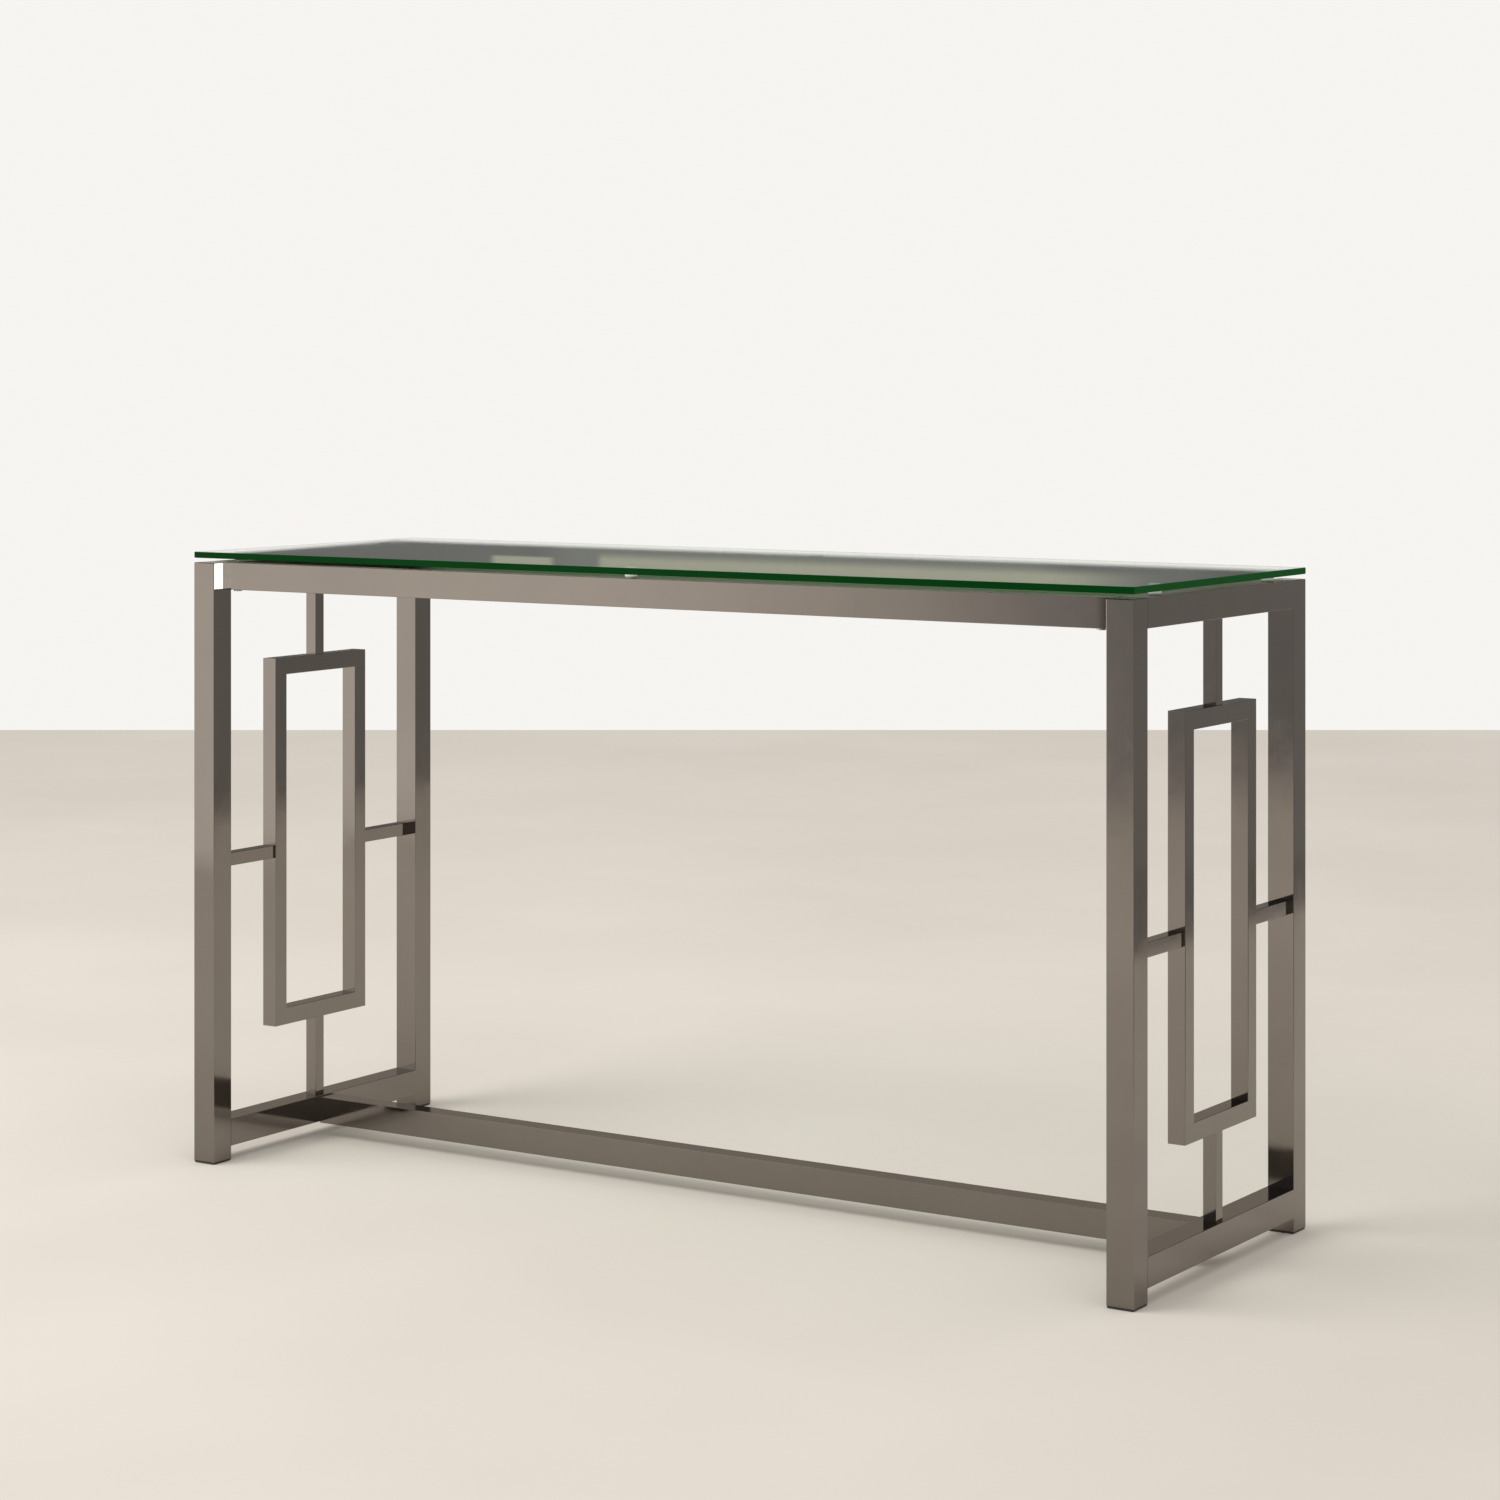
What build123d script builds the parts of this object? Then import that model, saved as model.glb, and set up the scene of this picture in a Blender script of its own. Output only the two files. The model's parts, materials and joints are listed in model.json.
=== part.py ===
"""Console table: a welded and screwed frame of square tube with a clear glass top.

Frame of reference: +X runs along the table to its right end, +Y to its back and +Z up. The origin
is on the floor, under the centre of the table. All sizes are in millimetres.
"""
from build123d import *
import os

# Overall frame ----------------------------------------------------------------------------------
frame_length = 1285.0  # over the outer faces of the legs, left to right
frame_depth = 428.0  # over the outer faces of the legs, front to back
leg_top_height = 736.0  # floor to the tops of the legs and of the top rails

# Tube stock -------------------------------------------------------------------------------------
leg_width = 32.0  # legs and side rails are as wide as this, square legs
frame_wall = 1.5  # wall of the legs, rails and stretcher
frame_corner = 0.6  # outer corner radius of the same tubes, ground sharp and polished
ornament_tube = 21.0  # square tube of the ornament rectangles
post_tube = 16.0  # square tube of the posts and links
light_wall = 1.2  # wall of the ornament, post and link tubes
light_corner = 0.6  # outer corner radius of the same tubes

# Rails and stretcher ----------------------------------------------------------------------------
top_side_rail_height = 32.0
low_side_rail_height = 33.0
low_side_rail_bottom = 18.0  # clear height under the low side rails
long_rail_height = 33.0  # front and back top rails
long_rail_thickness = 16.0
stretcher_height = 33.0
stretcher_width = 26.0
stretcher_bottom = 16.5  # clear height under the stretcher

# Ornament in each end frame ---------------------------------------------------------------------
ornament_width = 177.0  # outside, front to back
ornament_height = 461.0  # outside, bottom to top
ornament_bottom = 149.0  # floor to its lower edge
ornament_setback = 2.5  # outer face behind the outer faces of the legs
link_level = 368.0  # floor to the middle of the front and back links

# Leg ends ---------------------------------------------------------------------------------------
cap_thickness = 2.0
cap_chamfer = 0.8
foot_rim_height = 3.0  # part of the foot plug that shows under the leg
foot_rim_margin = 0.4  # rim inside the outer faces of the leg
foot_edge_bevel = 1.2
plug_depth = 16.0  # part of the foot plug inside the leg
plug_wall = 2.0
plug_clearance = 0.8  # plug body to the inside of the leg
fin_clearance = 0.05  # fins to the inside of the leg
fin_thickness = 1.2
fin_pitch = 6.0
fin_count = 2

# Knock-down joints of the rails and the stretcher -----------------------------------------------
spigot_length = 36.0
spigot_wall = 3.0
spigot_clearance = 0.3  # spigot to the inside of the rail, on each side
spigot_lead = 1.0  # chamfer on its free end
screw_radius = 2.5
screw_head_radius = 5.0
screw_head_height = 1.8  # low flat head, bears on the underside of the rail
screw_length = 12.0  # under the head
screw_clearance = 0.05
screw_inset = 18.0  # face that carries the spigot to the screw
socket_across = 3.0  # hexagon socket, across its flats
socket_depth = 1.4
pad_thickness = 0.4  # white pad between a leg and the end of a top rail
pad_margin = 0.8  # pad inside the edges of the leg's inner face
pad_clearance = 0.3  # hole of the pad to the spigot that passes through it

# Glass top and its bumpers ----------------------------------------------------------------------
bumper_height = 5.5
bumper_radius = 7.5
bumper_inset = 74.0  # corner bumpers, from the front and back faces of the legs
bumper_outset = 3.0  # corner bumpers, outward of the middle line of the side rails
bumper_drift = 6.0  # middle bumpers, off centre: the front one to the left, the back one to the right
glass_thickness = 7.5
glass_overhang = 0.5  # beyond the outer faces of the legs, all round
glass_dub = 1.5  # nip across each upright corner
glass_arris = 0.7  # polished bevel round the top and bottom edges

# Places worked out from the sizes ---------------------------------------------------------------
leg_x = frame_length / 2 - leg_width / 2
leg_y = frame_depth / 2 - leg_width / 2
inner_x = frame_length / 2 - leg_width  # inner faces of the legs, left and right
inner_y = frame_depth / 2 - leg_width  # inner faces of the legs, front and back
leg_bottom = foot_rim_height
leg_tube_top = leg_top_height - cap_thickness
ornament_x = frame_length / 2 - ornament_setback - ornament_tube / 2
ornament_top = ornament_bottom + ornament_height
ornament_middle = (ornament_bottom + ornament_top) / 2
top_side_rail_bottom = leg_top_height - top_side_rail_height
low_side_rail_top = low_side_rail_bottom + low_side_rail_height
long_rail_bottom = leg_top_height - long_rail_height
long_rail_y = inner_y + long_rail_thickness / 2  # inner face in line with the legs' inner faces
pad_x = inner_x - pad_thickness  # free faces of the pads, where the top rails end
glass_bottom = leg_top_height + bumper_height

sides = (("left", -1), ("right", 1))
places = (("front", -1), ("back", 1))
levels = (("top", 1), ("bottom", -1))


def tube_section(width, height, wall, corner):
    """Draw a hollow section, rounded outside and square inside, in the sketch that is open."""
    RectangleRounded(width, height, corner)
    Rectangle(width - 2 * wall, height - 2 * wall, mode=Mode.SUBTRACT)


def square_section(width, height, wall):
    """Draw a hollow section with square corners in the sketch that is open."""
    Rectangle(width, height)
    Rectangle(width - 2 * wall, height - 2 * wall, mode=Mode.SUBTRACT)


def plane_along_x(x, y, z):
    """Plane for a section that is carried along +X; its own X runs front to back."""
    return Plane(origin=(x, y, z), x_dir=(0, 1, 0), z_dir=(1, 0, 0))


def plane_along_y(x, y, z):
    """Plane for a section that is carried along +Y; its own X runs left to right."""
    return Plane(origin=(x, y, z), x_dir=(1, 0, 0), z_dir=(0, 1, 0))


def mitre_plane(x, y_sign, z_sign):
    """Diagonal plane at one corner of an ornament, facing its top or bottom bar."""
    corner_z = ornament_middle + z_sign * ornament_height / 2
    return Plane(
        origin=(x, y_sign * ornament_width / 2, corner_z),
        x_dir=(1, 0, 0),
        z_dir=(0, -y_sign, z_sign),
    )


def screw_plane(x, y, z):
    """Plane on the underside of a rail, facing down, where a screw enters the rail."""
    return Plane(origin=(x, y, z), x_dir=(1, 0, 0), z_dir=(0, 0, -1))


def save(piece, name):
    """Label a finished piece and write it to its own file."""
    piece.part.label = name
    export_step(piece.part, f"parts/{name}.step")


os.makedirs("parts", exist_ok=True)

# Legs, with their caps and foot plugs -----------------------------------------------------------
plug_width = leg_width - 2 * frame_wall - 2 * plug_clearance
fin_width = leg_width - 2 * frame_wall - 2 * fin_clearance
rim_width = leg_width - 2 * foot_rim_margin

for side, x_sign in sides:
    for place, y_sign in places:
        corner_point = (x_sign * leg_x, y_sign * leg_y)

        with BuildPart() as leg:
            with BuildSketch(Plane.XY.offset(leg_bottom)):
                with Locations(corner_point):
                    tube_section(leg_width, leg_width, frame_wall, frame_corner)
            extrude(amount=leg_tube_top - leg_bottom)
        save(leg, f"leg_{place}_{side}")

        with BuildPart() as leg_cap:
            with BuildSketch(Plane.XY.offset(leg_tube_top)):
                with Locations(corner_point):
                    Rectangle(leg_width, leg_width)
            extrude(amount=cap_thickness)
            chamfer(leg_cap.edges().group_by(Axis.Z)[-1], cap_chamfer)
            fillet(leg_cap.edges().filter_by(Axis.Z), frame_corner)
        save(leg_cap, f"leg_cap_{place}_{side}")

        with BuildPart() as foot_plug:
            with BuildSketch():
                with Locations(corner_point):
                    Rectangle(rim_width, rim_width)
            extrude(amount=foot_rim_height)
            chamfer(foot_plug.edges().group_by(Axis.Z)[0], foot_edge_bevel)
            fillet(foot_plug.edges().filter_by(Axis.Z), frame_corner)
            with BuildSketch(Plane.XY.offset(foot_rim_height)):
                with Locations(corner_point):
                    square_section(plug_width, plug_width, plug_wall)
            extrude(amount=plug_depth)
            for fin in range(fin_count):
                with BuildSketch(Plane.XY.offset(foot_rim_height + (fin + 0.5) * fin_pitch)):
                    with Locations(corner_point):
                        square_section(fin_width, fin_width, plug_wall)
                extrude(amount=fin_thickness)
        save(foot_plug, f"foot_plug_{place}_{side}")

# Side rails, butted between the legs ------------------------------------------------------------
for side, x_sign in sides:
    for name, bottom, height in (
        ("top_side_rail", top_side_rail_bottom, top_side_rail_height),
        ("low_side_rail", low_side_rail_bottom, low_side_rail_height),
    ):
        with BuildPart() as side_rail:
            with BuildSketch(plane_along_y(x_sign * leg_x, -inner_y, bottom + height / 2)):
                tube_section(leg_width, height, frame_wall, frame_corner)
            extrude(amount=2 * inner_y)
        save(side_rail, f"{name}_{side}")

# Ornament rectangles: four mitred bars in each end frame -----------------------------------------
bar_y = ornament_width / 2 - ornament_tube / 2
bar_z = ornament_height / 2 - ornament_tube / 2

for side, x_sign in sides:
    x = x_sign * ornament_x

    for place, y_sign in places:
        with BuildPart() as upright:
            with BuildSketch(Plane(origin=(x, y_sign * bar_y, ornament_bottom))):
                tube_section(ornament_tube, ornament_tube, light_wall, light_corner)
            extrude(amount=ornament_height)
            for level, z_sign in levels:
                split(bisect_by=mitre_plane(x, y_sign, z_sign), keep=Keep.BOTTOM)
        save(upright, f"ornament_{place}_upright_{side}")

    for level, z_sign in levels:
        with BuildPart() as bar:
            with BuildSketch(plane_along_y(x, -ornament_width / 2, ornament_middle + z_sign * bar_z)):
                tube_section(ornament_tube, ornament_tube, light_wall, light_corner)
            extrude(amount=ornament_width)
            for place, y_sign in places:
                split(bisect_by=mitre_plane(x, y_sign, z_sign), keep=Keep.TOP)
        save(bar, f"ornament_{level}_bar_{side}")

# Posts and links that hold each ornament --------------------------------------------------------
for side, x_sign in sides:
    x = x_sign * ornament_x

    for name, bottom, top in (
        ("lower_post", low_side_rail_top, ornament_bottom),
        ("upper_post", ornament_top, top_side_rail_bottom),
    ):
        with BuildPart() as post:
            with BuildSketch(Plane(origin=(x, 0, bottom))):
                tube_section(post_tube, post_tube, light_wall, light_corner)
            extrude(amount=top - bottom)
        save(post, f"{name}_{side}")

    for place, start in (("front", -inner_y), ("back", ornament_width / 2)):
        with BuildPart() as link:
            with BuildSketch(plane_along_y(x, start, link_level)):
                tube_section(post_tube, post_tube, light_wall, light_corner)
            extrude(amount=inner_y - ornament_width / 2)
        save(link, f"{place}_link_{side}")

# Front and back top rails and the low stretcher -------------------------------------------------
screw_x = inner_x - screw_inset
rail_hole_depth = frame_wall + spigot_clearance

for name, y, bottom, width, height, end_x in (
    ("front_top_rail", -long_rail_y, long_rail_bottom, long_rail_thickness, long_rail_height, pad_x),
    ("back_top_rail", long_rail_y, long_rail_bottom, long_rail_thickness, long_rail_height, pad_x),
    ("stretcher", 0, stretcher_bottom, stretcher_width, stretcher_height, inner_x),
):
    with BuildPart() as rail:
        with BuildSketch(plane_along_x(-end_x, y, bottom + height / 2)):
            tube_section(width, height, frame_wall, frame_corner)
        extrude(amount=2 * end_x)
        with Locations(*[screw_plane(x_sign * screw_x, y, bottom) for side, x_sign in sides]):
            Hole(screw_radius + screw_clearance, depth=rail_hole_depth)
    save(rail, name)

# Spigots: stubs welded to the end frames, which the rail ends slip over --------------------------
spigot_inset = frame_wall + spigot_clearance
spigot_hole_depth = spigot_inset + spigot_wall

for side, x_sign in sides:
    for name, y, bottom, width, height in (
        ("rail_spigot_front", -long_rail_y, long_rail_bottom, long_rail_thickness, long_rail_height),
        ("rail_spigot_back", long_rail_y, long_rail_bottom, long_rail_thickness, long_rail_height),
        ("stretcher_spigot", 0, stretcher_bottom, stretcher_width, stretcher_height),
    ):
        with BuildPart() as spigot:
            with BuildSketch(plane_along_x(x_sign * inner_x, y, bottom + height / 2)):
                square_section(width - 2 * spigot_inset, height - 2 * spigot_inset, spigot_wall)
            extrude(amount=-x_sign * spigot_length)
            free_end = spigot.faces().sort_by(Axis.X)[0 if x_sign > 0 else -1]
            chamfer(free_end.outer_wire().edges(), spigot_lead)
            with Locations(screw_plane(x_sign * screw_x, y, bottom)):
                Hole(screw_radius + screw_clearance, depth=spigot_hole_depth)
        save(spigot, f"{name}_{side}")

# Pads: thin white plates between the legs and the ends of the top rails ---------------------------
pad_hole_width = long_rail_thickness - 2 * spigot_inset + 2 * pad_clearance
pad_hole_height = long_rail_height - 2 * spigot_inset + 2 * pad_clearance

for side, x_sign in sides:
    for place, y_sign in places:
        with BuildPart() as rail_pad:
            with BuildSketch(plane_along_x(x_sign * inner_x, 0, long_rail_bottom + long_rail_height / 2)):
                with Locations((y_sign * leg_y, 0)):
                    Rectangle(leg_width - 2 * pad_margin, long_rail_height - 2 * pad_margin)
                with Locations((y_sign * long_rail_y, 0)):
                    Rectangle(pad_hole_width, pad_hole_height, mode=Mode.SUBTRACT)
            extrude(amount=-x_sign * pad_thickness)
        save(rail_pad, f"rail_pad_{place}_{side}")

# Screws, one up into each spigot ----------------------------------------------------------------
with BuildPart() as rail_screws:
    for side, x_sign in sides:
        for y, bottom in (
            (-long_rail_y, long_rail_bottom),
            (long_rail_y, long_rail_bottom),
            (0, stretcher_bottom),
        ):
            head_bottom = bottom - screw_head_height
            with BuildSketch(Plane(origin=(x_sign * screw_x, y, head_bottom))):
                Circle(screw_head_radius)
            extrude(amount=screw_head_height)
            with BuildSketch(Plane(origin=(x_sign * screw_x, y, bottom))):
                Circle(screw_radius)
            extrude(amount=screw_length)
            with BuildSketch(Plane(origin=(x_sign * screw_x, y, head_bottom))):
                RegularPolygon(socket_across / 2, 6, major_radius=False)
            extrude(amount=socket_depth, mode=Mode.SUBTRACT)
save(rail_screws, "rail_screws")

# Clear bumpers: four near the corners, two at the middle of the long rails ------------------------
bumper_x = leg_x + bumper_outset
bumper_y = frame_depth / 2 - bumper_inset

for name, x, y in (
    ("bumper_front_left", -bumper_x, -bumper_y),
    ("bumper_front_middle", -bumper_drift, -long_rail_y),
    ("bumper_front_right", bumper_x, -bumper_y),
    ("bumper_back_left", -bumper_x, bumper_y),
    ("bumper_back_middle", bumper_drift, long_rail_y),
    ("bumper_back_right", bumper_x, bumper_y),
):
    with BuildPart() as bumper:
        with BuildSketch(Plane(origin=(x, y, leg_top_height))):
            Circle(bumper_radius)
        extrude(amount=bumper_height)
    save(bumper, name)

# Glass top --------------------------------------------------------------------------------------
with BuildPart() as glass_top:
    with BuildSketch(Plane.XY.offset(glass_bottom)):
        Rectangle(frame_length + 2 * glass_overhang, frame_depth + 2 * glass_overhang)
    extrude(amount=glass_thickness)
    chamfer(glass_top.edges().filter_by(Axis.Z), glass_dub)
    chamfer(glass_top.edges().group_by(Axis.Z)[0], glass_arris)
    chamfer(glass_top.edges().group_by(Axis.Z)[-1], glass_arris)
save(glass_top, "glass_top")
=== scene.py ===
# %% [markdown]
# # A console table in dark nickel with a glass top
#
# The table is a frame of square steel tube, plated in dark nickel and polished. A glass pane lies
# on six clear soft discs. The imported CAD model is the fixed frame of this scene: it gives every
# piece at its real size. This script dresses it: it sets up the camera, the studio and the
# finishes, and makes finer pieces for the glass and its discs. All lengths are in metres.

import json
import math

import bpy
import numpy as np
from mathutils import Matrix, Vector


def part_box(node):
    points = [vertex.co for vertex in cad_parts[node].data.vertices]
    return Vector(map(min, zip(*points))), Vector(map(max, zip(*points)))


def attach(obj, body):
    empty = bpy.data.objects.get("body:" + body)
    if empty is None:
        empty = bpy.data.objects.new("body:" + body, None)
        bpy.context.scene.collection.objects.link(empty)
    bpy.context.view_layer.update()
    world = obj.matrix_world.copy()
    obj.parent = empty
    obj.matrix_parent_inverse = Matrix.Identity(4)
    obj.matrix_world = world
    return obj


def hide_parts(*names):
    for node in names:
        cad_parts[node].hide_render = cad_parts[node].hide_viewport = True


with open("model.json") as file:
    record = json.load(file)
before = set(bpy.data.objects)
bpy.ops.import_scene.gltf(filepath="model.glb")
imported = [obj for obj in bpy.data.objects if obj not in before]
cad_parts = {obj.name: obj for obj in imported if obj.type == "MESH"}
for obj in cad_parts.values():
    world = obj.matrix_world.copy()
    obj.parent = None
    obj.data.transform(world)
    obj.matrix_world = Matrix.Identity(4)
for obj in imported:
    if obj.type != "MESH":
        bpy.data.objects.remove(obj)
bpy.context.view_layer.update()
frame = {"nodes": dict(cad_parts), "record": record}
MM = 0.001

# %% [markdown]
# ## Camera
#
# A level camera keeps the legs parallel, as an architect's picture does. It stands to the right
# of the table and a little higher than its top, so the glass is seen at a low angle. The lens is
# shifted down instead of tilted, which brings the feet into the picture and leaves every upright
# tube upright.

# %% Camera
CAMERA_PLACE = Vector((2.3254, -3.5361, 0.9789))
CAMERA_HEADING = math.radians(32.971)  # turned from +Y towards -X
SENSOR = 36.0
LENS = 86.12
SHIFT = -0.2572  # in widths of the picture

ahead = Vector((-math.sin(CAMERA_HEADING), math.cos(CAMERA_HEADING), 0))
across = Vector((math.cos(CAMERA_HEADING), math.sin(CAMERA_HEADING), 0))

camera_data = bpy.data.cameras.new("camera")
camera_data.sensor_width = SENSOR
camera_data.lens = LENS
camera_data.shift_y = SHIFT
camera = bpy.data.objects.new("camera", camera_data)
camera.location = CAMERA_PLACE
camera.rotation_euler = (math.radians(90), 0, CAMERA_HEADING)
bpy.context.scene.collection.objects.link(camera)
bpy.context.scene.camera = camera
bpy.context.scene.view_settings.view_transform = "Standard"
print("camera is", round(CAMERA_PLACE.length, 2), "m from the origin")

# %% [markdown]
# ## Helpers for node trees
#
# Every finish below is a small tree of shader nodes. One helper adds a node and fills its
# inputs, so a material reads as a short list. The others do what most materials need: one Math
# node, a change of range, a blend of two colours, one part of a place, a noise. A noise seldom
# leaves the middle of its range from 0 to 1, so two spans of that middle are named here, and a
# finish stretches one of them to the range that it wants.

# %% Helpers
WHITE = (1.0, 1.0, 1.0)
NOISE_CORE = (0.35, 0.65)
NOISE_WIDE = (0.3, 0.7)


def add(tree, kind, inputs=None, **attributes):
    """Add a shader node. An input given a socket is linked to it, and any other value is set."""
    new = tree.nodes.new("ShaderNode" + kind)
    for name, value in attributes.items():
        setattr(new, name, value)
    for name, value in (inputs or {}).items():
        if isinstance(value, bpy.types.NodeSocket):
            tree.links.new(value, new.inputs[name])
        else:
            new.inputs[name].default_value = value
    return new


def calc(tree, operation, first, second=0.0):
    """The result of one Math node."""
    return add(tree, "Math", {0: first, 1: second}, operation=operation).outputs[0]


def remap(tree, value, low, high, new_low=0.0, new_high=1.0, smooth=False):
    """The value carried from the range low..high to new_low..new_high, kept within it."""
    kind = "SMOOTHSTEP" if smooth else "LINEAR"
    inputs = {"Value": value, "From Min": low, "From Max": high, "To Min": new_low, "To Max": new_high}
    return add(tree, "MapRange", inputs, interpolation_type=kind).outputs["Result"]


def blend_colors(tree, factor, first, second):
    """A colour between two colours, each a socket or a plain (r, g, b)."""
    mix = tree.nodes.new("ShaderNodeMix")
    mix.data_type = "RGBA"
    for socket, value in ((mix.inputs[0], factor), (mix.inputs[6], first), (mix.inputs[7], second)):
        if isinstance(value, bpy.types.NodeSocket):
            tree.links.new(value, socket)
        elif isinstance(value, tuple):
            socket.default_value = (*value, 1.0)
        else:
            socket.default_value = value
    return mix.outputs[2]


def new_material(name):
    """An empty material, its node tree and its output node."""
    material = bpy.data.materials.new(name)
    material.use_nodes = True
    material.node_tree.nodes.clear()
    return material, material.node_tree, add(material.node_tree, "OutputMaterial")


def part_of(tree, place, axis):
    """One part, X, Y or Z, of a place or a direction."""
    return add(tree, "SeparateXYZ", {0: place}).outputs[axis]


def noise(tree, vector, scale, detail=2.0, roughness=0.5):
    """Noise of the given scale, in waves per metre."""
    inputs = {"Vector": vector, "Scale": scale, "Detail": detail, "Roughness": roughness}
    return add(tree, "TexNoise", inputs).outputs["Fac"]


print("spans of a noise:", NOISE_CORE, "and", NOISE_WIDE)

# %% [markdown]
# ## A helper for new pieces
#
# A new piece is worked out as arrays: its points, and for each face the numbers of its points in
# order, counterclockwise as seen from outside. One helper turns them into a mesh with its
# materials and links the object into the scene. The object stays at the origin and its place is
# in its points, as it is for the pieces of the CAD model.

# %% New pieces


def new_piece(name, points, faces, materials, face_materials=None):
    """An object at the origin made of points (n, 3) and faces, each a list of point numbers."""
    mesh = bpy.data.meshes.new(name)
    mesh.from_pydata(points.tolist(), [], faces)
    for material in materials:
        mesh.materials.append(material)
    if face_materials is not None:
        mesh.polygons.foreach_set("material_index", face_materials)
    mesh.update()
    piece = bpy.data.objects.new(name, mesh)
    bpy.context.scene.collection.objects.link(piece)
    return piece


# %% [markdown]
# ## Floor
#
# The floor is a plain pale sheet. It is diffuse, so it takes the table's soft shadow, and its
# warm tone comes back in the polished tubes. It ends a few metres behind the table, where the
# white background starts. A room would also have a wall to the right of the table, and the tubes
# show the foot of it. A real wall would stand in the way, so the floor itself looks darker beyond
# that line, but only to a mirror. Seen directly or through the glass, it stays plain.

# %% Floor
FLOOR_BEHIND = 5.37  # from the table's centre, away from the camera
FLOOR_BEFORE = 4.3  # towards the camera
FLOOR_SIDE = 3.25
FLOOR_COLOR = (0.85, 0.785, 0.70)
FLOOR_DARKER = (0.81, 0.745, 0.66)
FLOOR_ROUGHNESS = 0.3
CLOUD_SCALE = 1.3
WALL_PLACE = 1.63  # to the right of the table, where mirrors see the wall begin
WALL_SOFTNESS = 0.05
WALL_FOOT = (0.275, 0.26, 0.235)


def mirror_ray(tree):
    """1 where a mirror shows the surface, 0 where it is seen directly or through glass."""
    rays = add(tree, "LightPath")
    return calc(tree, "MULTIPLY", rays.outputs["Is Glossy Ray"], rays.outputs["Is Reflection Ray"])


floor_material, tree, output = new_material("pale_floor")
floor_place = add(tree, "TexCoord").outputs["Object"]
floor_cloud = remap(tree, noise(tree, floor_place, CLOUD_SCALE, detail=3.0), *NOISE_CORE)
floor_tone = blend_colors(tree, floor_cloud, FLOOR_COLOR, FLOOR_DARKER)
floor_shader = add(tree, "BsdfDiffuse", {"Color": floor_tone, "Roughness": FLOOR_ROUGHNESS})
wall_foot = add(tree, "Emission", {"Color": (*WALL_FOOT, 1.0)})
past_wall = remap(tree, part_of(tree, floor_place, "X"), WALL_PLACE, WALL_PLACE + WALL_SOFTNESS)
in_mirror = calc(tree, "MULTIPLY", past_wall, mirror_ray(tree))
floor_seen = add(tree, "MixShader", {0: in_mirror, 1: floor_shader.outputs[0], 2: wall_foot.outputs[0]})
tree.links.new(floor_seen.outputs[0], output.inputs["Surface"])

floor_corners = [
    ahead * forward + across * sideways
    for forward, sideways in (
        (-FLOOR_BEFORE, -FLOOR_SIDE),
        (-FLOOR_BEFORE, FLOOR_SIDE),
        (FLOOR_BEHIND, FLOOR_SIDE),
        (FLOOR_BEHIND, -FLOOR_SIDE),
    )
]
floor = new_piece("floor", np.array(floor_corners), [[0, 1, 2, 3]], [floor_material])
print("floor:", FLOOR_BEFORE + FLOOR_BEHIND, "x", 2 * FLOOR_SIDE, "m")

# %% [markdown]
# ## Studio surroundings: directions
#
# Polished metal has hardly a colour of its own: it shows what stands around it. A flat sheet of
# one colour all round would make every face of the tubes the same, so the world is a room told
# by direction. A direction has a bearing and an elevation, and masks of bearing and elevation
# say where a wall, a ceiling or a bright side lies. Towards the wall behind the table, a third
# measure is handy: the slope, which is how high a line of sight climbs for each metre that it
# goes away from the table. A straight edge that lies level on that wall has one slope.

# %% Directions
world = bpy.data.worlds.new("studio")
bpy.context.scene.world = world
world.use_nodes = True
tree = world.node_tree
tree.nodes.clear()

SLOPE_LIMIT = 0.05  # keeps the slope finite away from that wall

sight = add(tree, "TexCoord").outputs["Generated"]
towards_right, towards_back, rise = (part_of(tree, sight, axis) for axis in "XYZ")
turn = calc(tree, "ARCTAN2", towards_right, towards_back)  # 0 at +Y, up towards +X
slope = calc(tree, "DIVIDE", rise, calc(tree, "MAXIMUM", towards_back, SLOPE_LIMIT))


def sector(start, end, soft, soft_end=None):
    """1 between two bearings in degrees, fading to 0 over soft degrees outside them.

    The fade at the end may have a width of its own, soft_end.
    """
    start, end, soft, soft_end = (math.radians(a) for a in (start, end, soft, soft_end or soft))
    opening = remap(tree, turn, start - soft, start, smooth=True)
    closing = remap(tree, turn, end, end + soft_end, 1.0, 0.0, smooth=True)
    return calc(tree, "MULTIPLY", opening, closing)


def below(angle, soft):
    """1 under an elevation in degrees, fading to 0 over soft degrees above it."""
    start, end = (math.sin(math.radians(a)) for a in (angle, angle + soft))
    return remap(tree, rise, start, end, 1.0, 0.0, smooth=True)


def both(first, second):
    """The part that two masks share."""
    return calc(tree, "MULTIPLY", first, second)


print("nodes for directions:", len(tree.nodes))

# %% [markdown]
# ## Studio surroundings: the room
#
# The room is painted from the back to the front, each layer over the last: dim walls, darker
# behind the camera than before it, a pale ceiling, a wall on the right, a bright side on the
# left, which gives the fronts of the tubes their light, and a dark stretch ahead, above the
# white background. The widths are bearings from and to, with the softness of the ends, and the
# tops are elevations with a softness, all in degrees.

# %% Room
DIM_ROOM = (0.36, 0.345, 0.335)
DIM_ROOM_TOP = (1, 6)
DARK_BEHIND = (0.10, 0.095, 0.09)
HALF_LIGHT = (0.29, 0.25, 0.21)
HALF_LIGHT_START = (-0.4, 0.2)  # of the sight's part towards +Y
RIGHT_WALL = (0.325, 0.31, 0.29)
RIGHT_WALL_WIDTH = (15, 60, 10)
RIGHT_WALL_TOP = (1, 6)
CEILING = (0.70, 0.69, 0.67)
CEILING_FOOT = (30, 30)
BRIGHT_SIDE = (1.28, 1.21, 1.11)
BRIGHT_SIDE_WIDTH = (-144.5, -72, 10.5)
BRIGHT_SIDE_TOP = (24, 20)
DARK_AHEAD = (0.115, 0.115, 0.11)
DARK_AHEAD_WIDTH = (-65, 0, 12)
DARK_AHEAD_TOP = (7, 3)

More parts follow.
